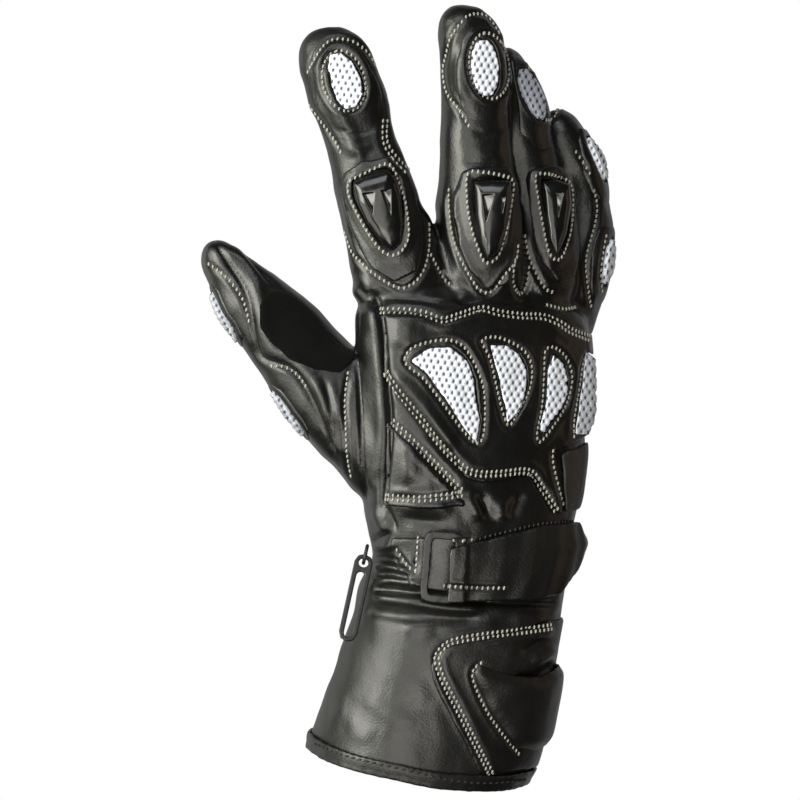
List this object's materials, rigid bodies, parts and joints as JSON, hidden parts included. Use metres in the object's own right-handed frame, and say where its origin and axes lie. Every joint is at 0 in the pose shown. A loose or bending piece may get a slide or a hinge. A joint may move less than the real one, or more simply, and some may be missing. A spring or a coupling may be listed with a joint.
{
  "type": "leather motorcycle glove",
  "caption": "Right-hand gauntlet motorcycle glove in black leather with hard knuckle guards, pale mesh inserts, a buckled wrist strap and a long flared cuff.",
  "frame": {"origin": "centre of the wrist's hollow, level with the middle of the wrist strap", "axes": "+Z from the wrist towards the fingertips, +Y from the back of the hand towards the palm, +X towards the little finger"},
  "size_m": [0.1499, 0.079, 0.2796],
  "materials": {
    "grained_leather": "semi-gloss grained cowhide",
    "smooth_leather": "smoother semi-gloss cowhide",
    "suede": "matt napped leather",
    "white_mesh": "raised open weave",
    "guard_plastic": "glossy moulded",
    "stitch_thread": "twisted polyester thread",
    "elastic_cord": "woven elastic"
  },
  "bodies": {
    "root": {"back_of_hand": "grained_leather", "palm": "grained_leather", "index_stall": "grained_leather", "middle_stall": "grained_leather", "ring_stall": "grained_leather", "little_stall": "grained_leather", "thumb_stall": "grained_leather", "back_panel": "grained_leather", "back_mesh_1": "white_mesh", "back_mesh_2": "white_mesh", "back_mesh_3": "white_mesh", "back_mesh_4": "white_mesh", "thumb_side_panel": "grained_leather", "edge_patch": "suede", "index_tip_pad": "grained_leather", "index_tip_mesh": "white_mesh", "index_knuckle_pad": "grained_leather", "index_knuckle_guard": "guard_plastic", "middle_tip_pad": "grained_leather", "middle_tip_mesh": "white_mesh", "middle_knuckle_pad": "grained_leather", "middle_knuckle_guard": "guard_plastic", "ring_tip_pad": "grained_leather", "ring_tip_mesh": "white_mesh", "ring_knuckle_pad": "grained_leather", "ring_knuckle_guard": "guard_plastic", "little_tip_pad": "grained_leather", "little_tip_mesh": "white_mesh", "little_knuckle_pad": "grained_leather", "little_knuckle_mesh": "white_mesh", "thumb_tip_pad": "grained_leather", "thumb_tip_mesh": "white_mesh", "thumb_knuckle_pad": "grained_leather", "thumb_knuckle_mesh": "white_mesh", "crotch_patch": "suede", "buckle_ring": "guard_plastic", "wrist_strap": "smooth_leather", "strap_anchor": "smooth_leather", "gauntlet_cuff": "smooth_leather", "hem_binding": "smooth_leather", "cuff_chevron_panel": "smooth_leather", "cuff_guard": "guard_plastic", "pair_clip": "guard_plastic", "clip_cord": "elastic_cord"}
  },
  "joints": []
}
